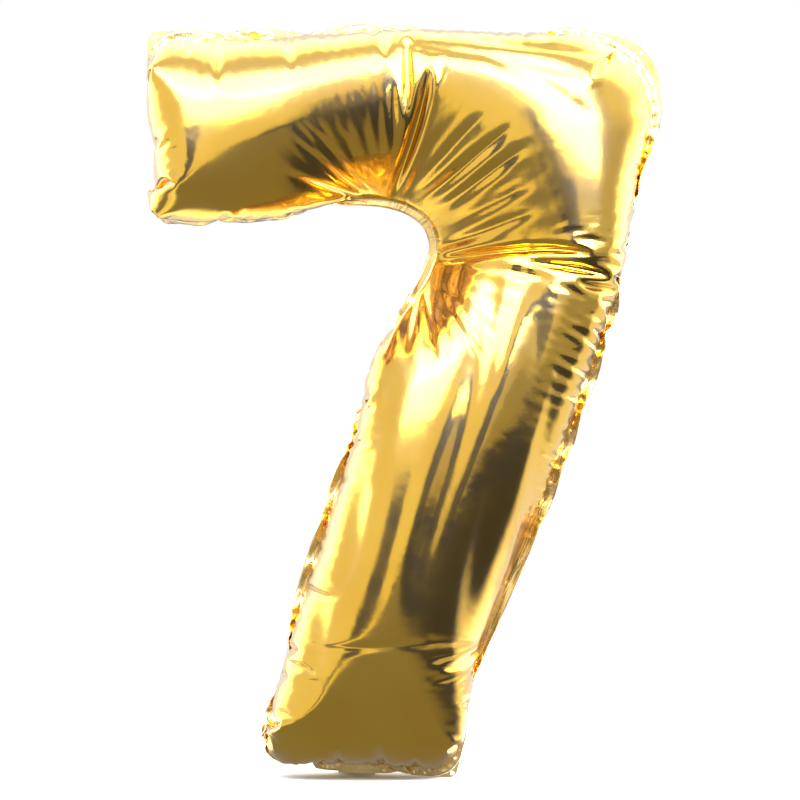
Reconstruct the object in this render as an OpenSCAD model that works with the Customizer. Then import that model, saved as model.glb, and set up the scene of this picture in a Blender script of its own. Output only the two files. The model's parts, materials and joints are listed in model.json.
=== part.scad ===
// Foil number balloon, digit seven, shown inflated and upright.
// Two sheets of metallised film are welded together round their edge. A flat self-sealing valve
// leads in through the bottom seam from a neck, which folds at the seam and is put away behind the
// base. Three corners keep a flat tab of welded film with a punched hole for a thread.
// X runs to the right, Y to the back and Z up. The weld lies in the plane Y = 0, and Z = 0 is the
// lowest edge.

/* [Film] */
// Thickness of each foil sheet as modelled; the real film is about 0.03 mm
film_t = 0.4; // [0.3:0.1:0.6]
// Thickness of each valve film as modelled
valve_t = 0.2; // [0.1:0.05:0.3]
// Thickness of the printed coat that keeps the valve channel from welding shut
ink_t = 0.1; // [0.05:0.05:0.2]

/* [Body] */
// Width of the welded flange round the outline
flange_w = 10; // [7:1:12]
// How deep the body is inflated, as a share of a full balloon
fullness = 1; // [0.7:0.05:1.1]

/* [Valve] */
// Width of the valve's two films
valve_w = 30; // [24:1:34]
// Width of the weld down each side of the valve
valve_weld_w = 3; // [2:0.5:5]
// Height of the valve inside the balloon, above the bottom weld
valve_rise = 90; // [60:1:110]

/* [Neck] */
// Place of the neck along the bottom seam, to the right of the middle
neck_x = -54; // [-90:2:-30]
// Width of the neck at its fold
neck_w = 42; // [40:1:50]
// Width of the neck at its mouth
mouth_w = 50; // [42:1:60]
// Length of the neck from its fold to its mouth
neck_len = 66; // [50:1:80]
// How far the front film reaches past the back film at the mouth
mouth_lip = 5; // [0:1:8]

/* [Corner tabs] */
// Radius of the punched hole in each tab
hole_r = 2.5; // [1.5:0.5:3]

/* [Hidden] */

GOLD = "goldenrod";
CLEAR = "lightyellow";
COAT = "white";
$fn = 48;

weld_t = 2 * valve_t + ink_t;   // gap between the two sheets along the seam, which the weld fills
stack_t = weld_t + 2 * film_t;  // thickness of the whole flange
fold_reach = 1;                 // clear space between the neck's fold line and its films
fold_gap = 0.5;                 // clear space between the flange's edge and the folded neck
mouth_inset = 12;               // how far the valve's films stop short of the mouth
steps_per_rib = 2;              // stations from one rib to the next
corner_steps = 5;               // facets on a rounded corner of the weld
ring_steps = 7;                 // rings of facets from the weld up to the crest

// Weld corners at the bar's free end and at the foot.
bar_top = [-284, 842];
bar_bottom = [-284, 646];
foot_right = [51, 9.5];
foot_left = [-161, 22];
bar_top_r = 30;                 // radius of the weld at the bar's top corner
corner_r = 24;                  // radius of the weld at the other three

// The ribs cross the digit from its outer weld to its inner weld, from the bar's free end round
// the bend to the foot: outer x and z, inner x and z, and the depth from the weld to the crest.
RIBS = [
    [-186, 844, -186, 650,  96],
    [-120, 847, -122, 656,  97],
    [ -50, 850,  -72, 660,  98],
    [  35, 850,  -32, 660, 103],
    [ 115, 849,    0, 653, 110],
    [ 199, 844,   22, 641, 117],
    [ 258, 819,   33, 627, 120],
    [ 284, 760,   37, 610, 118],
    [ 270, 692,   35, 595, 116],
    [ 254, 612,   29, 578, 115],
    [ 232, 522,   14, 548, 113],
    [ 199, 422,  -14, 498, 112],
    [ 158, 312,  -62, 372, 113],
    [ 114, 212,  -98, 265, 110],
    [  80, 128, -128, 168, 106]
];

function unit(v) = v / norm(v);
function turn_left(v) = [-v[1], v[0]];

// Catmull-Rom curve through the rows of a list, at a place that is counted in rows.
function row(rows, i) = rows[max(0, min(len(rows) - 1, i))];
function curve(rows, at) =
    let (i = min(floor(at), len(rows) - 2))
    let (t = at - i, a = row(rows, i - 1), b = rows[i], c = rows[i + 1], d = row(rows, i + 2))
    b + 0.5 * t * (c - a + t * (2 * a - 5 * b + 4 * c - d + t * (3 * b - a - 3 * c + d)));

// Points of an arc that rounds the corner where the lines from a and to b meet.
function rounded(a, corner, b, r) =
    let (u = unit(a - corner), v = unit(b - corner))
    let (half = acos(u * v) / 2, centre = corner + unit(u + v) * r / sin(half))
    let (start = corner + u * r / tan(half) - centre, sweep = 180 - 2 * half)
    let (side = sign(-turn_left(start) * u))
    [for (i = [0 : corner_steps]) let (turn = side * sweep * i / corner_steps)
        centre + start * cos(turn) + turn_left(start) * sin(turn)];
function between(a, b, steps) = [for (i = [1 : steps - 1]) a + (b - a) * i / steps];

station_count = (len(RIBS) - 1) * steps_per_rib + 1;
last_station = station_count - 1;
STATIONS = [for (i = [0 : last_station]) curve(RIBS, i / steps_per_rib)];
OUTER_RAIL = [for (s = STATIONS) [s[0], s[1]]];
INNER_RAIL = [for (i = [last_station : -1 : 0]) [STATIONS[i][2], STATIONS[i][3]]];
CRESTS = [for (s = STATIONS) [(s[0] + s[2]) / 2, (s[1] + s[3]) / 2, s[4] * fullness]];

foot_start = OUTER_RAIL[last_station];
foot_stop = INNER_RAIL[0];
FOOT_RIGHT = rounded(foot_start, foot_right, foot_left, corner_r);
FOOT_LEFT = rounded(foot_right, foot_left, foot_stop, corner_r);
FOOT = concat(
    between(foot_start, FOOT_RIGHT[0], 3),
    FOOT_RIGHT,
    between(FOOT_RIGHT[corner_steps], FOOT_LEFT[0], 6),
    FOOT_LEFT,
    between(FOOT_LEFT[corner_steps], foot_stop, 4));
END_BOTTOM = rounded(INNER_RAIL[last_station], bar_bottom, bar_top, corner_r);
END_TOP = rounded(bar_bottom, bar_top, OUTER_RAIL[0], bar_top_r);
BAR_END = concat(
    between(INNER_RAIL[last_station], END_BOTTOM[0], 3),
    END_BOTTOM,
    between(END_BOTTOM[corner_steps], END_TOP[0], 5),
    END_TOP,
    between(END_TOP[corner_steps], OUTER_RAIL[0], 3));

// The weld line, clockwise as seen from the front. CREST_OF names the crest that the film rises to
// from each of its points.
WELD_LINE = concat(OUTER_RAIL, FOOT, INNER_RAIL, BAR_END);
CREST_OF = concat(
    [for (i = [0 : last_station]) i],
    [for (p = FOOT) last_station],
    [for (i = [last_station : -1 : 0]) i],
    [for (p = BAR_END) 0]);
n = len(WELD_LINE);
function outward(k) = turn_left(unit(WELD_LINE[(k + 1) % n] - WELD_LINE[(k + n - 1) % n]));
FLANGE_EDGE = [for (k = [0 : n - 1]) WELD_LINE[k] + flange_w * outward(k)];

// A point of one skin of a sheet, on its way from the weld line up to the crest along a quarter of
// an ellipse. The inner skin lies one film thickness below the outer skin.
function skin_point(k, angle, below) =
    let (crest = CRESTS[CREST_OF[k]], top = [crest[0], crest[1]], start = WELD_LINE[k])
    let (inset = below / norm(top - start), across = inset + (1 - inset) * (1 - cos(angle)))
    let (place = start + (top - start) * across, base = stack_t / 2 - below)
    [place[0], base + (crest[2] - below - base) * sin(angle), place[1]];
function skin(below) = concat(
    [for (p = FLANGE_EDGE) [p[0], stack_t / 2 - below, p[1]]],
    [for (j = [0 : ring_steps - 1], k = [0 : n - 1]) skin_point(k, 90 * j / ring_steps, below)],
    [for (c = CRESTS) [c[0], c[2] - below, c[1]]]);

crest_start = (ring_steps + 1) * n;          // first crest point of a skin
skin_size = crest_start + station_count;     // points in one skin
function quad(a, b, c, d) = [[a, b, c], [a, c, d]];
// Triangles of one skin, flipped on the inner one.
function skin_faces(first, flip) =
    let (rings = [for (j = [0 : ring_steps - 1], k = [0 : n - 1], f = quad(
            j * n + k, (j + 1) * n + k, (j + 1) * n + (k + 1) % n, j * n + (k + 1) % n)) f])
    let (top = [for (k = [0 : n - 1], f = quad(
            ring_steps * n + k, crest_start + CREST_OF[k],
            crest_start + CREST_OF[(k + 1) % n], ring_steps * n + (k + 1) % n))
            if (f[0] != f[1] && f[1] != f[2]) f])
    [for (f = concat(rings, top)) [for (i = flip ? [2, 1, 0] : [0, 1, 2]) first + f[i]]];
RIM_FACES = [for (k = [0 : n - 1], f = quad(
    k, (k + 1) % n, skin_size + (k + 1) % n, skin_size + k)) f];

// One foil sheet with its flange, the back one.
module sheet() {
    color(GOLD)
        polyhedron(
            points = concat(skin(0), skin(film_t)),
            faces = concat(skin_faces(0, false), skin_faces(skin_size, true), RIM_FACES));
}

module front_panel() {
    mirror([0, 1, 0]) sheet();
}

module back_panel() {
    sheet();
}

// A flat layer that stands in the seam's plane, between two distances behind it.
module standing(from_y, to_y) {
    translate([0, to_y, 0]) rotate([90, 0, 0]) linear_extrude(to_y - from_y) children();
}

foot_along = unit(foot_right - foot_left);     // direction of the bottom seam
foot_tilt = atan2(-foot_along[1], foot_along[0]);
foot_z = foot_left[1] + (neck_x - foot_left[0]) * foot_along[1] / foot_along[0];
neck_root = [neck_x, foot_z] - flange_w * turn_left(foot_along);

// Sets its children at the place where the films leave the bottom seam for the neck, with X along
// the seam and Z square to it.
module at_neck_root() {
    translate([neck_root[0], 0, neck_root[1]]) rotate([0, foot_tilt, 0]) children();
}

// The sealing layers of the two sheets, melted together, open only where the valve passes.
module seam_weld() {
    color(CLEAR)
        standing(-weld_t / 2, weld_t / 2)
            difference() {
                polygon(FLANGE_EDGE);
                polygon(WELD_LINE);
                translate(neck_root)
                    rotate(-foot_tilt) square([valve_w, 3 * flange_w], center = true);
            }
}

// A corner of welded film outside the flange, which fills the corner between two points of the
// flange's edge and has its own edge rounded to outer_r.
function middle_of(points) =
    (points[floor((len(points) - 1) / 2)] + points[ceil((len(points) - 1) / 2)]) / 2;
function meeting_point(a, u, b, v) =
    a + u * ((b - a)[0] * v[1] - (b - a)[1] * v[0]) / (u[0] * v[1] - u[1] * v[0]);
module corner_tab(first, last, outer_r) {
    inner = [for (k = [first : last]) FLANGE_EDGE[k]];
    corner = meeting_point(FLANGE_EDGE[first], turn_left(outward(first)),
                           FLANGE_EDGE[last], turn_left(outward(last)));
    outer = rounded(FLANGE_EDGE[last], corner, FLANGE_EDGE[first], outer_r);
    color(GOLD)
        standing(-stack_t / 2, stack_t / 2)
            difference() {
                polygon(concat(inner, outer));
                translate((middle_of(inner) + middle_of(outer)) / 2) circle(hole_r);
            }
}

module top_left_tab() {
    first = n - 2 - corner_steps - 1;
    corner_tab(first, first + corner_steps, 8);
}

module top_right_tab() {
    corner_tab(5 * steps_per_rib, 7 * steps_per_rib, 62);
}

module foot_tab() {
    first = station_count + 2;
    corner_tab(first, first + corner_steps, 8);
}

// One upright layer of the valve, from the flange's edge up into the balloon.
module valve_layer(from_y, to_y, left, right) {
    at_neck_root()
        standing(from_y, to_y)
            translate([left, 0]) square([right - left, flange_w + valve_rise]);
}
channel = valve_w / 2 - valve_weld_w;          // from the valve's middle to its side welds

module valve_front_film() {
    color(CLEAR) valve_layer(-weld_t / 2, -ink_t / 2, -valve_w / 2, valve_w / 2);
}

module valve_back_film() {
    color(CLEAR) valve_layer(ink_t / 2, weld_t / 2, -valve_w / 2, valve_w / 2);
}

module valve_release_coat() {
    color(COAT) valve_layer(-ink_t / 2, ink_t / 2, -channel, channel);
}

module valve_side_welds() {
    color(CLEAR) {
        valve_layer(-ink_t / 2, ink_t / 2, -valve_w / 2, -channel);
        valve_layer(-ink_t / 2, ink_t / 2, channel, valve_w / 2);
    }
}

// The neck lies behind its fold line, under the base. Its layers are counted up from its lower
// side, which is the front sheet's.
neck_drop = fold_gap + stack_t;
module neck_layer(from, thickness) {
    at_neck_root() translate([0, 0, from - neck_drop]) linear_extrude(thickness) children();
}
flare_y = 0.6 * neck_len;                      // where the neck begins to widen
module neck_outline(length) {
    end_w = neck_w + (mouth_w - neck_w) * (length - flare_y) / (neck_len - flare_y);
    polygon([
        [-neck_w / 2, fold_reach], [-neck_w / 2, flare_y], [-end_w / 2, length],
        [end_w / 2, length], [neck_w / 2, flare_y], [neck_w / 2, fold_reach]
    ]);
}
module neck_strip(left, right) {
    translate([left, fold_reach]) square([right - left, neck_len - mouth_inset - fold_reach]);
}

module neck_front_film() {
    color(GOLD) neck_layer(0, film_t) neck_outline(neck_len);
}

module neck_back_film() {
    color(GOLD) neck_layer(film_t + weld_t, film_t) neck_outline(neck_len - mouth_lip);
}

module neck_side_welds() {
    color(CLEAR)
        neck_layer(film_t, weld_t) {
            neck_strip(-neck_w / 2, -valve_w / 2);
            neck_strip(valve_w / 2, neck_w / 2);
        }
}

module neck_valve_front_film() {
    color(CLEAR) neck_layer(film_t, valve_t) neck_strip(-valve_w / 2, valve_w / 2);
}

module neck_valve_back_film() {
    color(CLEAR) neck_layer(film_t + valve_t + ink_t, valve_t) neck_strip(-valve_w / 2, valve_w / 2);
}

module neck_valve_side_welds() {
    color(CLEAR)
        neck_layer(film_t + valve_t, ink_t) {
            neck_strip(-valve_w / 2, -channel);
            neck_strip(channel, valve_w / 2);
        }
}

front_panel();
back_panel();
seam_weld();
top_left_tab();
top_right_tab();
foot_tab();
valve_front_film();
valve_back_film();
valve_release_coat();
valve_side_welds();
neck_front_film();
neck_back_film();
neck_side_welds();
neck_valve_front_film();
neck_valve_back_film();
neck_valve_side_welds();
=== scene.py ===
import json
import math
import bmesh
import bpy
import numpy as np
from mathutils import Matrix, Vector, geometry


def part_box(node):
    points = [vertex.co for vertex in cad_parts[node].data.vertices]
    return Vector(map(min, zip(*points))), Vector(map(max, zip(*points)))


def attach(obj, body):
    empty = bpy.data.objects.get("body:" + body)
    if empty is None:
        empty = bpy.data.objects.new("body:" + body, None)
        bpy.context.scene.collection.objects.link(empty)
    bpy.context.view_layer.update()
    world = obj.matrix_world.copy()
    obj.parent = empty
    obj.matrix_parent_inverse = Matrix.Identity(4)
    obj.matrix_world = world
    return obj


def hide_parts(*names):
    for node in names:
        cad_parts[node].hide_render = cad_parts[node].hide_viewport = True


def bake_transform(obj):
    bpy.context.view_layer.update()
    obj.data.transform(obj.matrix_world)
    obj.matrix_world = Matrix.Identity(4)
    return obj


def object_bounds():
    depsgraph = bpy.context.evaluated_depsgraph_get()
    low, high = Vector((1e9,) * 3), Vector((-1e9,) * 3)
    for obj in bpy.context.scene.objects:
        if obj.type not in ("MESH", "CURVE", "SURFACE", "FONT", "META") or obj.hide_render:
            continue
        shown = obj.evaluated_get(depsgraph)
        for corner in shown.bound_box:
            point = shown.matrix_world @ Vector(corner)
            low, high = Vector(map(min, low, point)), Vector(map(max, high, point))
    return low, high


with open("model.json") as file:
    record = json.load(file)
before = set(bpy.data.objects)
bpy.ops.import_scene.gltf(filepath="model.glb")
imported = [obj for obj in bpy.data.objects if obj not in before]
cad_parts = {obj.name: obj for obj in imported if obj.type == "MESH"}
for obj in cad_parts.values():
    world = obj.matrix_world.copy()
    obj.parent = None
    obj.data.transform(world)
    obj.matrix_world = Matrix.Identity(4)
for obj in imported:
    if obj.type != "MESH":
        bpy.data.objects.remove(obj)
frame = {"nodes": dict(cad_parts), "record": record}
CAD_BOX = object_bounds()
NODES = frame["nodes"]

# ---------------------------------------------------------------- the film and how it is inflated
FILM = 0.0004            # thickness of each sheet, as in the CAD
WELD = 0.0005            # thickness of the sealing layer between them
FLANGE = 0.010           # width of the welded flange
COARSE = 0.0165          # spacing of the first, coarse mesh of the flat sheets
LEVELS = 2    # how often every triangle is then split into four
SLACK = 0.055            # how far the flat sheet stands outside the inflated weld line
TURN = math.radians(9)   # the flat pattern's bend is this much more open than the inflated one
DEPTH = CAD_BOX[1][1] - CAD_BOX[0][1]
SAME_PLACE = 1e-6        # points closer than this are one point


def merged(node):
    """Vertices of a CAD node without doubles, and its triangles."""
    mesh = NODES[node].data
    co = np.array([v.co[:] for v in mesh.vertices])
    points, index = np.unique(np.round(co, 6), axis=0, return_inverse=True)
    index = index.ravel()
    return points, np.array([[index[v] for v in p.vertices] for p in mesh.polygons])


def area(ring):
    """Area inside a ring of points: positive where it runs counter-clockwise."""
    ahead = np.roll(ring, -1, 0)
    return 0.5 * np.sum(ring[:, 0] * ahead[:, 1] - ahead[:, 0] * ring[:, 1])


def walk(chosen, edges):
    """The chosen vertices in the order in which the edges join them."""
    near = {v: [] for v in chosen}
    for a, b in edges:
        if a in near and b in near:
            near[a].append(b)
            near[b].append(a)
    order = [min(near), near[min(near)][0]]
    while len(order) < len(near):
        order.append(next(v for v in near[order[-1]] if v != order[-2]))
    return order


def weld_line():
    """The CAD's weld line, as a ring of (x, z) that runs counter-clockwise seen from the front.

    On the inner face of the front sheet it is what remains without the flange's edge, from which
    the upright edges of the rim start.
    """
    points, tris = merged("front_panel")
    edges = {tuple(sorted(e)) for t in tris for e in ((t[0], t[1]), (t[1], t[2]), (t[2], t[0]))}
    inner_face = -WELD / 2 - FILM / 4
    inner = {v for v in range(len(points)) if points[v, 1] > inner_face}
    rim = set()
    for a, b in edges:
        if np.abs(points[a, [0, 2]] - points[b, [0, 2]]).max() < SAME_PLACE:
            rim |= {a, b} & inner
    ring = points[walk(inner - rim, edges)][:, [0, 2]]
    return ring if area(ring) > 0 else ring[::-1]


def lengths_along(ring):
    """Distance round the ring to each of its points, and to the first one again."""
    step = np.linalg.norm(np.roll(ring, -1, 0) - ring, axis=1)
    return np.concatenate([[0], np.cumsum(step)])


def even(ring, count):
    """The ring resampled at even spacing."""
    s = lengths_along(ring)
    closed = np.vstack([ring, ring[:1]])
    at = np.linspace(0, s[-1], count, endpoint=False)
    return np.column_stack([np.interp(at, s, closed[:, k]) for k in (0, 1)])


def outward(ring):
    """Unit directions out of the ring, at each of its points."""
    t = np.roll(ring, -1, 0) - np.roll(ring, 1, 0)
    t /= np.linalg.norm(t, axis=1)[:, None]
    return np.column_stack([t[:, 1], -t[:, 0]])


def soften(ring, reach):
    """The ring smoothed over that reach of its own length."""
    s = lengths_along(ring)
    d = np.abs(s[:-1, None] - s[None, :-1])
    d = np.minimum(d, s[-1] - d)
    w = np.exp(-0.5 * (d / reach) ** 2)
    return (w @ ring) / w.sum(1)[:, None]


def ease(low, high, x):
    """0 up to low, 1 from high on, and a smooth rise between."""
    t = np.clip((x - low) / (high - low), 0, 1)
    return t * t * (3 - 2 * t)


WELD_LINE = weld_line()
TARGET = even(WELD_LINE, 1200)     # where the seam of the filled balloon should lie
TARGET_OUT = outward(soften(TARGET, 0.003))
PATTERN_POINTS = 800     # points round the flat pattern
PATTERN_ROUNDING = 0.014
CORNER_STRIDE = 24       # how many points before and after it show how sharply the ring turns
CORNER_LOSS = 0.95       # share of the slack that is left out at the inner corner ...
CORNER_NEAR, CORNER_FAR = 0.02, 0.19   # ... wholly up to the first distance, not at all from the second
PIVOT_IN = (0.014, 0.019)   # from the top right tab's lower left corner to where the bend opens about
END_TIP = 0.012          # points this near a free end's furthest point lie round its middle
END_REACH = 0.1          # a free end is what lies within this of its furthest point


def end_slack(ring, towards, width, amount):
    """Extra slack over the middle of a free end, which draws in by another amount than a long side."""
    towards = np.array(towards, float)
    reach = ring @ towards
    tip = ring[reach > reach.max() - END_TIP].mean(0)
    away = (ring - tip) @ np.array([-towards[1], towards[0]])
    return amount * np.exp(-(away / width) ** 2) * (reach > reach.max() - END_REACH)


def inner_corner(ring, stride):
    """The point at which the ring turns inwards most, judged from its points a stride away."""
    ahead, behind = np.roll(ring, -stride, 0) - ring, ring - np.roll(ring, stride, 0)
    return ring[np.argmin(np.cross(behind, ahead))]


def open_bend(ring):
    """The ring with its bar turned by TURN, about a point in the outer corner of the bend.

    Seen from there, the bar lies between 150 and 200 degrees, and the stem from 232 degrees on.
    """
    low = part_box("top_right_tab")[0]
    pivot = np.array([low[0] + PIVOT_IN[0], low[2] + PIVOT_IN[1]])
    d = ring - pivot
    direction = np.degrees(np.arctan2(d[:, 1], d[:, 0])) % 360
    a = -TURN * (1 - ease(200, 232, direction)) * ease(60, 150, direction)
    return pivot + np.column_stack([d[:, 0] * np.cos(a) - d[:, 1] * np.sin(a),
                                    d[:, 0] * np.sin(a) + d[:, 1] * np.cos(a)])


def flat_pattern():
    """The weld line of the sheets while they are flat: outside the inflated one, with a more open bend."""
    ring = even(WELD_LINE, PATTERN_POINTS)
    from_corner = np.linalg.norm(ring - inner_corner(ring, CORNER_STRIDE), axis=1)
    slack = SLACK * (1 - CORNER_LOSS * (1 - ease(CORNER_NEAR, CORNER_FAR, from_corner)))
    slack += end_slack(ring, towards=(-1, 0), width=0.072, amount=-0.014)    # left end of the bar
    slack += end_slack(ring, towards=(0, -1), width=0.078, amount=0.004)     # foot
    ring = open_bend(ring + outward(ring) * slack[:, None])
    return soften(ring, PATTERN_ROUNDING)


def inside(points, ring):
    """Which points lie inside the ring."""
    hit = np.zeros(len(points), bool)
    x, z = points.T
    for (x0, z0), (x1, z1) in zip(ring, np.roll(ring, -1, 0)):
        crosses = (z0 > z) != (z1 > z)
        with np.errstate(divide="ignore", invalid="ignore"):
            hit ^= crosses & (x < (x1 - x0) * (z - z0) / (z1 - z0) + x0)
    return hit


def flat_mesh(pattern, h):
    """Triangles of size h over the flat sheet and its flange.

    kind is 0 for a vertex inside, 1 on the weld line and 2 on the flange.
    """
    count = int(round(lengths_along(pattern)[-1] / h))
    ring = even(pattern, count)
    rim = ring + outward(ring) * FLANGE
    lo, hi = rim.min(0), rim.max(0)
    rows = np.arange(lo[1], hi[1], h * math.sqrt(3) / 2)
    grid = np.array([(x + (h / 2 if k % 2 else 0), z)
                     for k, z in enumerate(rows) for x in np.arange(lo[0], hi[0], h)])
    grid = grid[inside(grid, ring)]
    gap = np.sqrt(((grid[:, None] - even(pattern, 4 * count)[None]) ** 2).sum(2)).min(1)
    grid = grid[gap > 0.62 * h]        # nearer the weld line, triangles would come out as slivers
    points = np.vstack([ring, rim, grid])
    loop = np.arange(count)
    after = np.roll(loop, -1)
    own = np.concatenate([loop, np.arange(2 * count, len(points))])
    sides = list(zip(loop.tolist(), after.tolist()))
    filled = geometry.delaunay_2d_cdt([Vector(p) for p in points[own]], sides, [], 1, SAME_PLACE)
    tris = np.vstack([own[np.array(filled[2])], np.column_stack([loop, count + loop, count + after]),
                      np.column_stack([loop, count + after, after])])
    p = points[tris]
    turn = np.cross(p[:, 1] - p[:, 0], p[:, 2] - p[:, 0])
    tris[turn < 0] = tris[turn < 0][:, ::-1]
    kind = np.zeros(len(points), int)
    kind[:count] = 1
    kind[count:2 * count] = 2
    return points, tris, kind, [loop, loop + count]


def apart(pairs, total):
    """Splits pairs of vertices into groups in which no vertex comes twice."""
    group = np.full(len(pairs), -1)
    used = [set() for _ in range(total)]
    for k, (a, b) in enumerate(pairs.tolist()):
        c = 0
        while c in used[a] or c in used[b]:
            c += 1
        used[a].add(c)
        used[b].add(c)
        group[k] = c
    return [np.where(group == c)[0] for c in range(group.max() + 1)]


TIME_STEP = 0.3          # together with the film's weight this sets how fast pressure moves it
FILM_WEIGHT = 0.11
SQUEEZE = 0.3            # film gives way to a squeeze: only this share of it is put right in a step
BEND = 0.02              # share of a sharp bend that is opened in a step
LEVELLING = 0.004        # share by which the weld line is drawn into its plane in a step
TAB_GRIP = 0.5           # the same where tabs and the valve hold the flange flat
TINY = 1e-12             # keeps a length from being divided by nothing
TINY_AREA = 1e-15


def sides_of(tris):
    """All sides of the triangles, as rows of two vertices."""
    return np.vstack([tris[:, [0, 1]], tris[:, [1, 2]], tris[:, [2, 0]]])


def flange_tris(tris, kind):
    """Which triangles belong to the flange."""
    return (kind[tris] >= 1).all(1) & (kind[tris] == 2).any(1)


class Balloon:
    """Two equal flat sheets that share their weld line and flange.

    The front sheet's n vertices come first, then those of the back sheet inside the weld line.
    place gives the vertex of the flat sheet for each of them. rings are the rings of vertices along
    the seam, from the weld line to the flange's edge.
    """

    def __init__(self, flat, tris, kind, rings):
        self.flat, self.tris, self.kind, self.rings = flat, tris, kind, rings
        self.n = len(flat)
        self.inner = np.where(kind == 0)[0]
        self.total = self.n + len(self.inner)
        self.back_of = np.arange(self.n)
        self.back_of[self.inner] = self.n + np.arange(len(self.inner))
        on_flange = flange_tris(tris, kind)
        self.body, self.flange = tris[~on_flange], tris[on_flange]
        self.skin = np.vstack([self.body, self.back_of[self.body][:, ::-1]])
        self.skin_index = self.skin.T.ravel()
        self.place = np.concatenate([np.arange(self.n), self.inner])
        self.set_pulls()

    def set_pulls(self):
        """The lengths that the film keeps: along each edge, and between the far corners of two neighbours."""
        every = np.vstack([self.skin, self.flange])
        sides = np.sort(sides_of(every), axis=1)
        across = np.concatenate([every[:, 2], every[:, 0], every[:, 1]])
        key = sides[:, 0].astype(np.int64) * self.total + sides[:, 1]
        order = np.argsort(key, kind="stable")
        same = key[order][1:] == key[order][:-1]
        edges = sides[order][np.concatenate([[True], ~same])]
        bends = np.column_stack([across[order][:-1][same], across[order][1:][same]])
        f = self.flat[self.place]
        rest = np.linalg.norm(f[edges[:, 0]] - f[edges[:, 1]], axis=1)
        span = np.linalg.norm(f[bends[:, 0]] - f[bends[:, 1]], axis=1)
        wide = span > 0.8 * np.median(rest)        # not front and back corners over one another
        bends, span = bends[wide], span[wide]
        self.h = float(np.median(rest))
        self.pulls = [(edges[g, 0].copy(), edges[g, 1].copy(), rest[g]) for g in self.groups(edges)]
        self.stiff = [(bends[g, 0].copy(), bends[g, 1].copy(), span[g]) for g in self.groups(bends)]

    def groups(self, pairs):
        """The pairs in groups that can each be moved at once, in a mixed order so that none leads."""
        mixed = np.random.default_rng(5).permutation(len(pairs))
        return [np.sort(mixed[g]) for g in apart(pairs[mixed], self.total)]

    def start(self, lift, uneven, rng):
        """Flat, and slightly apart and uneven, so that folds can start."""
        x = np.zeros((self.total, 3))
        x[:, [0, 2]] = self.flat[self.place]
        x[self.inner, 1] = -lift * (1 + uneven * rng.standard_normal(len(self.inner)))
        x[self.n:, 1] = lift * (1 + uneven * rng.standard_normal(len(self.inner)))
        return x

    def pressure(self, x):
        """The gas pushes every triangle square to itself, in line with its area."""
        a, b, c = (x[self.skin[:, k]] for k in (0, 1, 2))
        push = np.cross(b - a, c - a) / (3 * self.h ** 2)
        return np.column_stack([np.bincount(self.skin_index, np.tile(push[:, k], 3), self.total)
                                for k in (0, 1, 2)])

    def seam_targets(self, x):
        """For each ring of the seam: the nearest points of the CAD's own line, the ways out of the
        balloon there, and how firmly it is held flat."""
        targets = []
        for r, ring in enumerate(self.rings):
            line = TARGET + TARGET_OUT * FLANGE * r / (len(self.rings) - 1)
            at = x[ring][:, [0, 2]]
            k = ((at[:, None] - line[None]) ** 2).sum(2).argmin(1)
            targets.append((ring, line[k], TARGET_OUT[k], FLAT_THERE[k]))
        return targets

    def keep_lengths(self, y):
        """Film resists stretch far more than crumpling."""
        for i, j, rest in self.pulls:
            p, q = y[i], y[j]
            d = p - q
            s = 0.5 - 0.5 * rest / (np.sqrt((d * d).sum(1)) + TINY)
            np.multiply(s, SQUEEZE, out=s, where=s < 0)
            d *= s[:, None]
            y[i] = p - d
            y[j] = q + d

    def open_bends(self, y):
        """Film is a little stiff: corners that a bend has brought closer move apart again."""
        for i, j, rest in self.stiff:
            p, q = y[i], y[j]
            d = p - q
            s = BEND * np.minimum(1 - rest / (np.sqrt((d * d).sum(1)) + TINY), 0)
            d *= s[:, None]
            y[i] = p - d
            y[j] = q + d

    def draw_seam(self, y, targets, pull):
        """Draws the weld line onto the CAD's, and the flange too where it is held flat."""
        for r, (ring, line, out, flat) in enumerate(targets):
            on_weld = r == 0
            grip = np.maximum(pull if on_weld else 0, TAB_GRIP * min(1, 5 * pull) * flat)
            slip = ((line - y[ring][:, [0, 2]]) * out).sum(1) * grip
            y[ring, 0] += slip * out[:, 0]
            y[ring, 2] += slip * out[:, 1]
            y[ring, 1] *= 1 - np.maximum(LEVELLING if on_weld else 0, TAB_GRIP * flat)

    def fill(self, x, v, rounds, push, damp, pull):
        """Moves the film under pressure in small damped steps. pull is how firmly the seam is drawn."""
        step = TIME_STEP * push * self.h ** 2 / FILM_WEIGHT
        for k in range(rounds):
            if k % 3 == 0:
                force = self.pressure(x)
            if k % 10 == 0:
                targets = self.seam_targets(x)
                if pull == 0:
                    x, v = align(x, v, self.rings[0], targets[0][1])
                    targets = self.seam_targets(x)
            v = v * damp + step * force
            y = x + v
            self.keep_lengths(y)
            if k % 2 == 0:
                self.open_bends(y)
            if pull:
                self.draw_seam(y, targets, pull)
            v = y - x
            x = y
        return x, v


def align(x, v, ring, goal):
    """Turns and moves the whole balloon in its plane so that its weld line lies nearest the CAD's."""
    at = x[ring][:, [0, 2]]
    u, _, w = np.linalg.svd((at - at.mean(0)).T @ (goal - goal.mean(0)))
    flip = np.diag([1, np.sign(np.linalg.det(w.T @ u.T))])
    turn = w.T @ flip @ u.T
    x[:, [0, 2]] = x[:, [0, 2]] @ turn.T + goal.mean(0) - turn @ at.mean(0)
    v[:, [0, 2]] = v[:, [0, 2]] @ turn.T
    return x, v


def halfway(ring, values):
    """Values halfway along each side of a smooth ring, by the four-point rule."""
    a, b = values[ring], values[np.roll(ring, -1)]
    return 0.5625 * (a + b) - 0.0625 * (values[np.roll(ring, 1)] + values[np.roll(ring, -2)])


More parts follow.
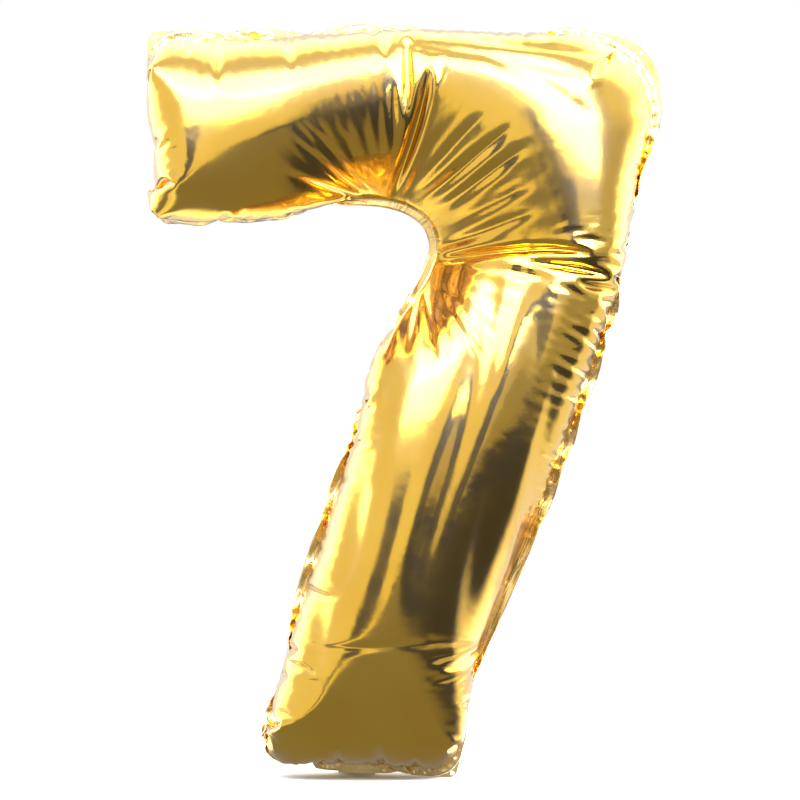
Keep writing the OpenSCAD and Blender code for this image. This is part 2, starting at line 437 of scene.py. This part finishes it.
def refine(balloon, x):
    """The balloon and its vertices x with each triangle split into four."""
    n, tris, kind = balloon.n, balloon.tris, balloon.kind
    sides = np.sort(sides_of(tris), axis=1)
    keys, first, index = np.unique(sides[:, 0].astype(np.int64) * n + sides[:, 1],
                                   return_index=True, return_inverse=True)
    index = index.ravel()
    ends = sides[first]
    ab, bc, ca = np.split(n + index, 3)
    finer = np.vstack([np.column_stack(t) for t in ((tris[:, 0], ab, ca), (ab, tris[:, 1], bc),
                                                    (ca, bc, tris[:, 2]), (ab, bc, ca))])
    on_flange = np.tile(flange_tris(tris, kind), 3).astype(float)
    flange_count = np.bincount(index, on_flange, len(ends))
    count = np.bincount(index, minlength=len(ends))
    new_kind = np.where(flange_count == count, 2, np.where(flange_count > 0, 1, 0))
    layers = [balloon.flat, x[:n], x[balloon.back_of]]
    layers = [np.vstack([a, (a[ends[:, 0]] + a[ends[:, 1]]) / 2]) for a in layers]
    rings = []
    for ring in balloon.rings:
        side = np.sort(np.column_stack([ring, np.roll(ring, -1)]), axis=1)
        ids = n + np.searchsorted(keys, side[:, 0].astype(np.int64) * n + side[:, 1])
        for a in layers:
            a[ids] = halfway(ring, a)
        rings.append(np.column_stack([ring, ids]).ravel())
    finer = Balloon(layers[0], finer, np.concatenate([kind, new_kind]), rings)
    y = np.zeros((finer.total, 3))
    y[:finer.n] = layers[1]
    y[finer.back_of[finer.inner]] = layers[2][finer.inner]
    return finer, y


def flat_spots():
    """How firmly the flange is held flat along the target line: fully at the tabs and at the valve."""
    firm = np.zeros(len(TARGET))
    edge = TARGET + TARGET_OUT * FLANGE
    for node in ("top_left_tab", "top_right_tab", "foot_tab", "valve_front_film"):
        points = merged(node)[0][:, [0, 2]]
        gap = np.sqrt(((edge[:, None] - points[None]) ** 2).sum(2)).min(1)
        firm = np.maximum(firm, 1 - ease(0.008, 0.026, gap))
    return firm


FLAT_THERE = flat_spots()


def inflate():
    """The filled balloon: blown up freely, then with its seam drawn into place, then in finer triangles.

    The depth that it fills to is a little less than the CAD's, and is stretched to nearly that.
    """
    balloon = Balloon(*flat_mesh(flat_pattern(), COARSE))
    x = balloon.start(lift=0.006, uneven=0.3, rng=np.random.default_rng(3))
    x, v = balloon.fill(x, np.zeros_like(x), rounds=600, push=0.03, damp=0.99, pull=0)
    for pull in (0.002, 0.01, 0.05, 0.2):
        x, v = balloon.fill(x, v, rounds=150, push=0.03, damp=0.98, pull=pull)
    for level in range(LEVELS):
        balloon, x = refine(balloon, x)
        x, v = balloon.fill(x, np.zeros_like(x), rounds=500 - 200 * level, push=0.02, damp=0.985, pull=0.2)
        x, v = balloon.fill(x, v, rounds=150 - 50 * level, push=0.008, damp=0.96, pull=0.2)
    x[:, 1] *= np.clip(0.985 * DEPTH / np.ptp(x[:, 1]), 1, 1.12)
    return balloon, x


balloon, shape = inflate()


def seam_place(points):
    """For points of the flat sheet: how far along the weld line they are, and how far from it."""
    ring = balloon.flat[balloon.rings[0]]
    s = lengths_along(ring)[:-1]
    along, away = np.empty(len(points)), np.empty(len(points))
    for part in np.array_split(np.arange(len(points)), 40):       # in parts, to save memory
        d = ((points[part][:, None] - ring[None]) ** 2).sum(2)
        k = d.argmin(1)
        along[part], away[part] = s[k], np.sqrt(d[np.arange(len(part)), k])
    return along, away


ALONG, AWAY = seam_place(balloon.flat)


def normals(points, tris):
    """Unit normals at the points, each the mean over its triangles weighed by their area."""
    face = np.cross(points[tris[:, 1]] - points[tris[:, 0]], points[tris[:, 2]] - points[tris[:, 0]])
    total = np.zeros_like(points)
    for k in (0, 1, 2):
        for axis in (0, 1, 2):
            total[:, axis] += np.bincount(tris[:, k], face[:, axis], len(points))
    return total / (np.linalg.norm(total, axis=1)[:, None] + TINY_AREA)


# Soft folds pressed into the film: start (x, z), end (x, z), width and depth, in the front view
FRONT_FOLDS = [
    ((0.112, 0.600), (0.000, 0.150), 0.016, 0.0046),       # down the stem
    ((0.158, 0.560), (0.055, 0.110), 0.016, 0.0046),
    ((0.205, 0.590), (0.110, 0.130), 0.014, 0.0040),
    ((0.140, 0.620), (0.090, 0.420), 0.006, 0.0015),
    ((0.065, 0.600), (0.020, 0.480), 0.008, 0.0015),
    ((-0.010, 0.480), (-0.070, 0.250), 0.012, 0.0020),     # along its left edge
    ((-0.040, 0.345), (-0.080, 0.200), 0.013, 0.0032),
    ((-0.082, 0.225), (-0.122, 0.075), 0.014, 0.0034),
    ((-0.020, 0.838), (0.215, 0.792), 0.006, 0.0018),      # across the top right corner
    ((0.060, 0.842), (0.240, 0.815), 0.005, 0.0015),
    ((0.090, 0.820), (0.230, 0.740), 0.008, 0.0020),
    ((-0.145, 0.150), (0.105, 0.160), 0.004, 0.0012),      # creases across the foot
    ((-0.130, 0.214), (-0.060, 0.208), 0.0035, 0.0015),
    ((0.020, 0.165), (0.085, 0.158), 0.004, 0.0010),
]
BACK_FOLDS = [
    ((0.150, 0.600), (0.020, 0.180), 0.013, 0.0025),
    ((0.205, 0.560), (0.110, 0.150), 0.012, 0.0025),
    ((0.040, 0.500), (-0.060, 0.160), 0.014, 0.0030),
    ((-0.240, 0.760), (-0.020, 0.775), 0.014, 0.0020),
]
WANDER = 0.3             # how far a fold wanders from its straight line, in widths


def fold_depth(x, start, end, width, depth, front):
    """How deep one fold presses each point in: a valley that wanders a little and fades at its ends."""
    start, end = np.array(start), np.array(end)
    length = np.linalg.norm(end - start)
    way = (end - start) / length
    flat = x[:, [0, 2]] - start
    t = flat @ way / length
    off = flat @ np.array([-way[1], way[0]])
    side = x[:, 1] < 0 if front else x[:, 1] > 0
    off = off + WANDER * width * np.sin(7 * t + 300 * start[0])      # each fold in its own way
    amount = depth * np.exp(-(off / width) ** 2) * ease(0, 0.15, t) * (1 - ease(0.7, 1, t)) * side
    return amount * ease(0, 0.025, AWAY[balloon.place])


def soft_folds(x):
    """The film with all its soft folds pressed in."""
    amount = np.zeros(len(x))
    for folds, front in ((FRONT_FOLDS, True), (BACK_FOLDS, False)):
        for start, end, width, depth in folds:
            amount += fold_depth(x, start, end, width, depth, front)
    return x - normals(x, balloon.skin) * amount[:, None]


PIT_ROUNDS = 60          # rounds of smoothing that show how deep a pit is
PIT_REACH = 0.09         # how far from a corner pits are filled


def tab_middle(node):
    """Middle of a tab in the front view."""
    low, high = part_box(node)
    return (np.array(low) + np.array(high))[[0, 2]] / 2


def smoothed(x, rounds):
    """The surface after many rounds of moving every point to the middle of its neighbours."""
    a, b = np.unique(sides_of(balloon.skin), axis=0).T
    a, b = np.concatenate([a, b]), np.concatenate([b, a])
    degree = np.bincount(a, minlength=len(x))
    share = 1 / np.maximum(degree, 1)
    inner = degree > 0
    for _ in range(rounds):
        middle = np.stack([np.bincount(a, x[b, k], len(x)) * share for k in range(3)], axis=1)
        x = np.where(inner[:, None], middle, x)
    return x


def fill_pits(x, corners):
    """Raises the film near the given corners to the smoothed surface wherever it lies deeper."""
    out = normals(x, balloon.skin)
    deep = np.einsum("ij,ij->i", smoothed(x, PIT_ROUNDS) - x, out)
    gap = np.linalg.norm(x[:, None, [0, 2]] - np.array(corners)[None], axis=2).min(1)
    near = (1 - ease(0.6 * PIT_REACH, PIT_REACH, gap)) * ease(0, 0.012, AWAY[balloon.place])
    return x + out * (np.clip(deep, 0, None) * near)[:, None]


VALVE_LOW, VALVE_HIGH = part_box("valve_front_film")
VALVE_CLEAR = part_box("valve_back_film")[1][1] + 0.00003    # half the valve's thickness, and a little air
BOTTOM_SEAM = 0.03       # film less than this above the valve's lower end belongs to the bottom seam


def over_valve(x):
    """1 where the film lies over the valve's channel through the flange, fading to 0 beside it."""
    beside = np.maximum(VALVE_LOW[0] - x[:, 0], x[:, 0] - VALVE_HIGH[0])
    return (1 - ease(0.002, 0.010, beside)) * (x[:, 2] < VALVE_LOW[2] + BOTTOM_SEAM)


def flat_over_valve(x):
    """Holds the weld line and the flange flat where the valve passes through them."""
    welded = balloon.kind[balloon.place] > 0
    x = x.copy()
    x[welded, 1] *= 1 - over_valve(x[welded])
    return x


CORNERS = [tab_middle(node) for node in ("top_right_tab", "top_left_tab", "foot_tab")]
CORNERS.append(TARGET[np.argmin(TARGET.sum(1))])         # the foot's left corner has no tab
shape = soft_folds(shape)
for _ in range(2):
    shape = fill_pits(shape, CORNERS)
shape = flat_over_valve(shape)


# ---------------------------------------------------------------- materials
class Nodes:
    """Short calls to build the node tree of a new material or world."""

    def __init__(self, owner):
        self.owner = owner
        owner.use_nodes = True
        self.tree = owner.node_tree
        self.tree.nodes.clear()

    def add(self, kind, inputs=None, **settings):
        """A new shader node with its inputs linked or set."""
        node = self.tree.nodes.new("ShaderNode" + kind)
        for key, value in settings.items():
            setattr(node, key, value)
        for key, value in (inputs or {}).items():
            socket = node.inputs[key]
            if isinstance(value, bpy.types.NodeSocket):
                self.tree.links.new(value, socket)
            else:
                socket.default_value = value
        return node

    def maths(self, operation, *values):
        return self.add("Math", dict(enumerate(values)), operation=operation).outputs[0]

    def times(self, a, b):
        return self.maths("MULTIPLY", a, b)

    def plus(self, a, b):
        return self.maths("ADD", a, b)

    def noise(self, vector, scale, detail=3.0, roughness=0.5):
        return self.add("TexNoise", {"Vector": vector, "Scale": scale, "Detail": detail,
                                     "Roughness": roughness}).outputs["Fac"]

    def span(self, value, low, high, to_low=0.0, to_high=1.0):
        """A smooth change from to_low to to_high while the value goes from low to high."""
        return self.add("MapRange", {"Value": value, "From Min": low, "From Max": high,
                                     "To Min": to_low, "To Max": to_high},
                        interpolation_type="SMOOTHSTEP").outputs[0]

    def band(self, value, rise, full, fall, end, height=1.0):
        """The height while the value is between full and fall, fading to 0 at rise and at end."""
        return self.times(self.span(value, rise, full, 0.0, height), self.span(value, fall, end, 1.0, 0.0))

    def mix(self, factor, a, b, kind="FLOAT"):
        return self.add("Mix", {"Factor": factor, "A": a, "B": b}, data_type=kind).outputs["Result"]

    def glow(self, strength):
        return self.add("Emission", {"Color": (1, 1, 1, 1), "Strength": strength}).outputs[0]

    def finish(self, shader, output="OutputMaterial"):
        self.tree.links.new(shader, self.add(output).inputs["Surface"])
        return self.owner


def foil(name, light, deep, haze, crimp, metal=1.0):
    """Metallised film: bright metal under a clear layer, with soft dents, fine crinkles, and short
    puckers square to the seam. haze is its least roughness, and crimp the puckers' strength."""
    m = Nodes(bpy.data.materials.new(name))
    place = m.add("TexCoord").outputs["Object"]
    along = m.add("Attribute", attribute_name="seam_along").outputs["Fac"]
    away = m.add("Attribute", attribute_name="seam_away").outputs["Fac"]
    tint = m.span(m.noise(place, 9.0, 4.0), 0.35, 0.65)
    smear = m.noise(place, 26.0, 5.0, 0.6)
    seam_place = {"X": m.times(along, 240.0), "Y": m.times(away, 26.0)}
    pucker = m.noise(m.add("CombineXYZ", seam_place).outputs[0], 1.0, 2.0)
    groups = m.span(m.noise(place, 13.0, 2.0), 0.40, 0.62, 0.25, 1.0)
    near = m.times(m.span(away, 0.0, 0.024, crimp, 0.0), groups)
    height = m.plus(m.times(pucker, near), m.times(m.noise(place, 75.0, 2.0, 0.4), 0.10))
    height = m.plus(height, m.times(m.noise(place, 22.0, 1.0), 0.45))
    height = m.plus(height, m.times(m.noise(place, 900.0, 2.0), 0.004))
    return m.finish(m.add("BsdfPrincipled", {
        "Base Color": m.mix(tint, light, deep, "RGBA"),
        "Metallic": metal,
        "Roughness": m.span(smear, 0.3, 0.75, haze, haze * 2.2),
        "Normal": m.add("Bump", {"Height": height, "Strength": 1.0, "Distance": 0.0014}).outputs[0],
        "Coat Weight": 1.0, "Coat Roughness": 0.28, "Coat IOR": 1.6}).outputs[0])


def plastic(name, light, deep, rough, clear):
    """Milky film or ink: slight mottling, fine grain and a soft shine."""
    m = Nodes(bpy.data.materials.new(name))
    place = m.add("TexCoord").outputs["Object"]
    mottle = m.noise(place, 160.0, 4.0)
    grain = {"Height": m.noise(place, 700.0, 2.0), "Strength": 0.3, "Distance": 0.0002}
    return m.finish(m.add("BsdfPrincipled", {
        "Base Color": m.mix(m.span(mottle, 0.35, 0.65), light, deep, "RGBA"),
        "Roughness": m.span(mottle, 0.2, 0.8, rough, rough * 1.5),
        "Normal": m.add("Bump", grain).outputs[0],
        "Transmission Weight": clear, "IOR": 1.5}).outputs[0])


GOLD = foil("gold_foil", (0.92, 0.54, 0.024, 1), (0.88, 0.49, 0.015, 1), 0.08, 0.75)
# Painted reflection: the seam foil's paler, creamier base colour stands in for the pale studio that crinkled
# flange foil reflects; the tabs, the neck and its crease use it too
GOLD_SEAM = foil("gold_seam", (0.86, 0.60, 0.22, 1), (0.80, 0.52, 0.14, 1), 0.15, 0.55, 0.90)
SEALANT = plastic("sealant", (0.80, 0.74, 0.60, 1), (0.70, 0.64, 0.50, 1), 0.35, 0.0)
VALVE_FILM = plastic("valve_film", (0.82, 0.84, 0.84, 1), (0.72, 0.75, 0.76, 1), 0.25, 0.3)
COAT = plastic("release_coat", (0.35, 0.40, 0.36, 1), (0.28, 0.33, 0.29, 1), 0.55, 0.0)


# ---------------------------------------------------------------- the balloon's pieces
def placed(name, data):
    """A new object with that mesh, light or camera, in the scene."""
    piece = bpy.data.objects.new(name, data)
    bpy.context.scene.collection.objects.link(piece)
    return piece


def set_seam(mesh, along, away):
    """Stores how far along and away from the seam each vertex lies, for the puckers of the foil."""
    for label, values in (("seam_along", along), ("seam_away", away)):
        mesh.attributes.new(label, "FLOAT", "POINT").data.foreach_set("value", values.astype(np.float32))


def foil_normals(points, tris, flat_index):
    """Directions in which a foil sheet stands off from the common surface.

    On the weld line and the flange both sheets follow the flange's own normal, so that they don't cross.
    """
    out = normals(points, tris)
    welded = balloon.kind[flat_index] > 0
    out[welded] = normals(points, tris[welded[tris].all(1)])[welded]
    return out


def keep_off_valve(faces, points, side, thickness):
    """Moves the outer and inner face of a sheet out to its own side of the valve's channel."""
    valve = over_valve(points)
    clear = np.concatenate([VALVE_CLEAR * valve + thickness, VALVE_CLEAR * valve])
    clear *= np.tile(valve > 0, 2)
    held = clear > 0
    faces[held, 1] = side * np.maximum(side * faces[held, 1], clear[held])


def film(name, tris, below, above, materials, slot_of_tri, side=0):
    """A closed sheet of film from below to above the balloon's surface, along its normals.

    side is -1 for the front sheet of foil, 1 for the back one and 0 for a layer between them.
    """
    used, tris = np.unique(tris, return_inverse=True)
    tris = tris.reshape(-1, 3)
    points, flat_index = shape[used], balloon.place[used]
    out = foil_normals(points, tris, flat_index) if side else normals(points, tris)
    count = len(points)
    solid = np.vstack([points + out * above, points + out * below])
    if side:
        keep_off_valve(solid, points, side, above - below)
    have = set(map(tuple, sides_of(tris).tolist()))
    rim = sorted((a, b) for a, b in have if (b, a) not in have)
    walls = [(b, a, a + count, b + count) for a, b in rim]
    mesh = bpy.data.meshes.new(name)
    mesh.from_pydata(solid.tolist(), [], tris.tolist() + (tris[:, ::-1] + count).tolist() + walls)
    set_seam(mesh, np.tile(ALONG[flat_index], 2), np.tile(AWAY[flat_index], 2))
    for material in materials:
        mesh.materials.append(material)
    slots = np.concatenate([slot_of_tri, slot_of_tri, np.full(len(walls), len(materials) - 1)])
    mesh.polygons.foreach_set("material_index", slots.astype(np.int32))
    smooth = np.arange(len(mesh.polygons)) < 2 * len(tris)
    mesh.polygons.foreach_set("use_smooth", smooth)
    mesh.update()
    piece = placed(name, mesh)
    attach(piece, "balloon")
    return piece


def build_foil_sheets():
    """The front and back sheets: the inflated film and the flange, which have a material each."""
    b = balloon
    slots = np.concatenate([np.zeros(len(b.body), int), np.ones(len(b.flange), int)])
    front = np.vstack([b.body, b.flange])
    back = np.vstack([b.back_of[b.body], b.flange])[:, ::-1]
    for name, tris, side in (("front_sheet", front, -1), ("back_sheet", back, 1)):
        piece = film(name, tris, WELD / 2, WELD / 2 + FILM, [GOLD, GOLD_SEAM], slots, side)
        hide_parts(name.replace("sheet", "panel"))


def build_sealing_layer():
    """The fused layer in the flange, left open where the valve passes through."""
    middle = shape[balloon.flange].mean(1)
    beside = (middle[:, 0] < VALVE_LOW[0]) | (middle[:, 0] > VALVE_HIGH[0])
    weld = balloon.flange[beside | (middle[:, 2] > VALVE_LOW[2] + BOTTOM_SEAM)]
    piece = film("sealing_layer", weld, -WELD / 2, WELD / 2, [SEALANT], np.zeros(len(weld), int))
    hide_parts("seam_weld")


build_foil_sheets()
build_sealing_layer()


def skin_node(node, material):
    """Gives its finished material to a CAD node that stays as it is."""
    piece = NODES[node]
    piece.data.materials.clear()
    piece.data.materials.append(material)


for node in ("top_left_tab", "top_right_tab", "foot_tab"):
    skin_node(node, GOLD_SEAM)
for node in ("valve_front_film", "valve_back_film", "valve_side_welds"):
    skin_node(node, VALVE_FILM)
skin_node("valve_release_coat", COAT)

# ---------------------------------------------------------------- the filling neck
JOINT = next(j for j in frame["record"]["behaviour"]["joints"] if j["name"] == "neck_fold")
HINGE = Vector(JOINT["pos_m"])
NECK_LOW, NECK_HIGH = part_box("neck_front_film")
NECK_CELL = 0.0022       # spacing of the cuts that let the neck's film wave


def ripple(x, y):
    """Height of the neck's gentle waves: none at the fold, most at the mouth."""
    t = (y - NECK_LOW[1]) / (NECK_HIGH[1] - NECK_LOW[1])
    wave = math.sin(95 * y + 40 * x + 0.6) + 0.6 * math.sin(210 * x - 60 * y)
    return 0.0007 * wave * min(1, max(0, t)) ** 1.5


def cut_fine(bm, spacing):
    """Cuts the mesh by planes square to x and y, so that it can bend."""
    xs = [v.co.x for v in bm.verts]
    ys = [v.co.y for v in bm.verts]
    for low, high, axis in ((min(xs), max(xs), (1, 0, 0)), (min(ys), max(ys), (0, 1, 0))):
        for k in range(1, int((high - low) / spacing)):
            at = Vector(axis) * (low + k * spacing)
            bmesh.ops.bisect_plane(bm, geom=bm.verts[:] + bm.edges[:] + bm.faces[:],
                                   plane_co=at, plane_no=Vector(axis))


def smooth_piece(name, mesh, material, sharp_degrees):
    """A smooth piece of one material, with sharp edges where it turns by more than that angle."""
    mesh.materials.append(material)
    mesh.polygons.foreach_set("use_smooth", np.ones(len(mesh.polygons), bool))
    mesh.set_sharp_from_angle(angle=math.radians(sharp_degrees))
    return placed(name, mesh)


def wavy_copy(node, material):
    """A piece of the neck: the CAD's outline and thickness, with the waves of loose film."""
    bm = bmesh.new()
    bm.from_mesh(NODES[node].data)
    bmesh.ops.remove_doubles(bm, verts=bm.verts, dist=1e-7)
    cut_fine(bm, NECK_CELL)
    for v in bm.verts:
        v.co.z += ripple(v.co.x, v.co.y)
    bmesh.ops.triangulate(bm, faces=bm.faces[:])
    bmesh.ops.recalc_face_normals(bm, faces=bm.faces[:])
    mesh = bpy.data.meshes.new("loose_" + node)
    bm.to_mesh(mesh)
    bm.free()
    edge = np.array([min(v.co.x - NECK_LOW[0], NECK_HIGH[0] - v.co.x) for v in mesh.vertices])
    set_seam(mesh, np.array([v.co.y for v in mesh.vertices]), np.abs(edge))
    piece = smooth_piece("loose_" + node, mesh, material, 40)
    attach(piece, "neck")
    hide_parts(node)


for node, material, slot in (("neck_front_film", GOLD_SEAM, "gold_foil"),
                             ("neck_back_film", GOLD_SEAM, "gold_foil"),
                             ("neck_side_welds", SEALANT, "sealant"),
                             ("neck_valve_front_film", VALVE_FILM, "valve_film"),
                             ("neck_valve_back_film", VALVE_FILM, "valve_film"),
                             ("neck_valve_side_welds", VALVE_FILM, "valve_film")):
    wavy_copy(node, material)

CREASE_HALF = 0.0205     # half the crease's width, across the neck
CREASE_THICK = 0.00074   # half its thickness: it wraps round the neck's films
CREASE_REACH = 0.0035    # how far it runs up the flange and along the neck
CREASE_BEND = 0.0009     # radius of its bend
CREASE_COLUMNS = 29


def crease_path():
    """The crease in section, as (along the folded neck, up the flange): down, round the bend, and out."""
    path = [(0.0, CREASE_REACH * (1 - k / 6) + CREASE_BEND * k / 6) for k in range(6)]
    path += [(CREASE_BEND - CREASE_BEND * math.cos(a), CREASE_BEND - CREASE_BEND * math.sin(a))
             for a in (math.pi / 2 * k / 10 for k in range(11))]
    path += [(CREASE_BEND + (CREASE_REACH - CREASE_BEND) * k / 6, 0.0) for k in range(1, 7)]
    return path


def crease_verts(path, along, up):
    """Both faces of the crease, row by row, with fine wrinkles that fade at its ends."""
    last = len(path) - 1
    verts = []
    for face in (1, -1):
        for k, (y, h) in enumerate(path):
            before, after = path[max(k - 1, 0)], path[min(k + 1, last)]
            way = Vector((0, after[0] - before[0], 0)) + up * (after[1] - before[1])
            side = along.cross(way).normalized() * CREASE_THICK * face
            for c in range(CREASE_COLUMNS):
                s = CREASE_HALF * (2 * c / (CREASE_COLUMNS - 1) - 1)
                wrinkle = 1 + 0.10 * math.sin(2100 * s) * math.sin(math.pi * k / last)
                verts.append(HINGE + along * s + Vector((0, y, 0)) + up * h + side * wrinkle)
    return verts


def grid_shell(rows, columns):
    """Faces of a closed shell between two grids of vertices that are stored one after the other."""
    size = rows * columns
    faces = []
    for k in range(rows - 1):
        for c in range(columns - 1):
            a = k * columns + c
            faces.append((a, a + 1, a + 1 + columns, a + columns))
            faces.append((size + a, size + a + columns, size + a + 1 + columns, size + a + 1))
    loop = [c for c in range(columns - 1)]
    loop += [k * columns + columns - 1 for k in range(rows - 1)]
    loop += [(rows - 1) * columns + c for c in range(columns - 1, 0, -1)]
    loop += [k * columns for k in range(rows - 1, 0, -1)]
    return faces + [(b, a, a + size, b + size) for a, b in zip(loop, loop[1:] + loop[:1])]


def build_crease():
    """The film from the flange over the fold and into the neck; the real film bends there as the neck swings.
    """
    along = -Vector(JOINT["axis"]).normalized()
    up = Vector((0, 1, 0)).cross(along).normalized()
    if up.z < 0:
        up.negate()
    path = crease_path()
    mesh = bpy.data.meshes.new("neck_crease")
    mesh.from_pydata(crease_verts(path, along, up), [], grid_shell(len(path), CREASE_COLUMNS))
    bm = bmesh.new()
    bm.from_mesh(mesh)
    bmesh.ops.recalc_face_normals(bm, faces=bm.faces[:])
    bm.to_mesh(mesh)
    bm.free()
    count = len(mesh.vertices)
    set_seam(mesh, np.zeros(count), np.full(count, FLANGE))
    piece = smooth_piece("neck_crease", mesh, GOLD_SEAM, 50)
    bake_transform(piece)


build_crease()

# ---------------------------------------------------------------- stage, lights and camera
FLOOR_Z = CAD_BOX[0][2] - 0.0005
FLOOR_RADIUS = 4.0
FLOOR_RINGS, FLOOR_SPOKES = 12, 72


def floor_mesh():
    """A flat disc round the origin."""
    verts = [(0.0, 0.0, FLOOR_Z)]
    for r in range(1, FLOOR_RINGS + 1):
        radius = FLOOR_RADIUS * r / FLOOR_RINGS
        for k in range(FLOOR_SPOKES):
            a = 2 * math.pi * k / FLOOR_SPOKES
            verts.append((radius * math.cos(a), radius * math.sin(a), FLOOR_Z))
    faces = [(0, 1 + k, 1 + (k + 1) % FLOOR_SPOKES) for k in range(FLOOR_SPOKES)]
    for r in range(FLOOR_RINGS - 1):
        for k in range(FLOOR_SPOKES):
            a, b = 1 + r * FLOOR_SPOKES + k, 1 + r * FLOOR_SPOKES + (k + 1) % FLOOR_SPOKES
            faces.append((a, a + FLOOR_SPOKES, b + FLOOR_SPOKES, b))
    mesh = bpy.data.meshes.new("studio_floor")
    mesh.from_pydata(verts, [], faces)
    return mesh


def studio_paper():
    """Pale paper that runs out to plain white.

    In reflections it is dark in front of the balloon, but for a part at the left, and far behind it.
    """
    m = Nodes(bpy.data.materials.new("studio_paper"))
    place = m.add("TexCoord").outputs["Object"]
    x, y, _z = m.add("SeparateXYZ", {0: place}).outputs
    shade = m.span(m.noise(place, 3.0), 0.3, 0.7, 0.88, 0.90)
    paper = m.add("BsdfDiffuse", {"Color": m.add("CombineColor", {0: shade, 1: shade, 2: shade}).outputs[0]})
    away = m.add("VectorMath", {0: place}, operation="LENGTH").outputs["Value"]
    ground = m.add("MixShader", {0: m.span(away, 0.25, 0.9), 1: paper.outputs[0], 2: m.glow(1.0)}).outputs[0]
    level = m.plus(m.span(x, 0.15, 0.40, 0.26, 0.05), m.span(x, 1.30, 1.55, 0.0, 0.32))
    shaded = m.plus(m.span(y, 0.0, 0.3, 1.0, 0.0), m.span(y, 1.1, 1.7))
    shaded = m.times(shaded, m.maths("SUBTRACT", 1.0, m.band(x, -1.25, -1.05, -0.75, -0.50)))
    reflected = m.times(m.add("LightPath").outputs["Is Glossy Ray"], shaded)
    return m.finish(m.add("MixShader", {0: reflected, 1: ground, 2: m.glow(level)}).outputs[0])


def build_stage():
    """The floor that the balloon stands on."""
    mesh = floor_mesh()
    mesh.materials.append(studio_paper())
    floor = placed("studio_floor", mesh)


build_stage()


def build_world():
    """A white studio to the camera. What foil reflects of it depends on the direction, as x, y and z.

    Its front is dark below a line that drops to the left, which foil shows as brown, and a veil dims
    its right part low down. Two dark strips give the streaks in the stem and at its left edge. Its
    sides are bright.
    """
    m = Nodes(bpy.data.worlds.new("studio"))
    bpy.context.scene.world = m.owner
    x, y, z = m.add("SeparateXYZ", {0: m.add("TexCoord").outputs["Generated"]}).outputs
    front = m.span(y, -0.05, 0.30, 1.0, 0.0)
    lean = m.times(x, m.span(x, -0.06, 0.06, 0.65, -0.12))
    tilt = m.maths("SUBTRACT", z, lean)
    below = m.times(m.span(tilt, -0.14, -0.08, 1.0, 0.0), front)
    left = m.span(tilt, -0.45, -0.18, 0.30, 0.10)
    right = m.span(tilt, -0.50, -0.34, 0.50, 0.05)
    ground = m.mix(m.span(x, 0.04, 0.22), left, right)
    light = m.plus(m.span(z, 0.0, 0.9, 0.95, 0.78), m.band(y, 0.10, 0.38, 0.62, 0.85, 2.6))
    light = m.mix(below, light, ground)
    veil = m.times(m.times(m.span(x, 0.0, 0.08), front), m.span(z, 0.16, 0.28, 1.0, 0.0))
    light = m.times(light, m.maths("SUBTRACT", 1.0, m.times(veil, 0.42)))
    middle = m.times(m.times(m.band(x, 0.09, 0.12, 0.40, 0.46), front), m.span(z, 0.34, 0.46, 1.0, 0.0))
    edge = m.times(m.times(m.band(x, -0.74, -0.68, -0.46, -0.40), front), m.span(z, 0.18, 0.25, 1.0, 0.0))
    light = m.mix(m.maths("MAXIMUM", middle, edge), light, 0.10)
    strength = m.mix(m.add("LightPath").outputs["Is Camera Ray"], light, 1.0)
    back = m.add("Background", {"Color": (1, 1, 1, 1), "Strength": strength}).outputs[0]
    m.finish(back, "OutputWorld")


build_world()


def softbox(name, towards, distance, size, radiance):
    """A soft rectangular light that faces the balloon's middle."""
    data = bpy.data.lights.new(name, "AREA")
    data.shape = "RECTANGLE"
    data.size, data.size_y = size
    data.energy = math.pi * size[0] * size[1] * radiance
    lamp = placed(name, data)
    way = Vector(towards).normalized()
    lamp.location = LIT_MIDDLE + way * distance
    lamp.rotation_euler = way.to_track_quat("Z", "Y").to_euler()


LIT_MIDDLE = Vector((0, 0, 0.55))
softbox("softbox_top", (0.0, -0.60, 1.0), 1.5, (2.4, 0.8), 10.0)
softbox("softbox_right", (0.62, -0.72, 0.55), 1.7, (1.4, 1.4), 15.0)
softbox("softbox_left", (-0.55, -0.85, 0.66), 1.8, (1.1, 0.9), 9.0)

VIEW = 0.9136            # width of the view at the balloon's middle plane
FAR = 4.6                # the camera's distance from it
AIM = (0.2889, 0.4305)   # where the camera aims, right of and above the balloon's lower left corner
SENSOR = 36


def build_camera():
    """Square to the front, as the photograph was taken."""
    data = bpy.data.cameras.new("camera")
    data.sensor_width = SENSOR
    data.lens = SENSOR * FAR / VIEW
    data.clip_end = 50
    camera = placed("camera", data)
    camera.location = (CAD_BOX[0][0] + AIM[0], -FAR, CAD_BOX[0][2] + AIM[1])
    camera.rotation_euler = (math.pi / 2, 0, 0)
    bpy.context.scene.camera = camera


build_camera()
bpy.context.scene.view_settings.view_transform = "Standard"
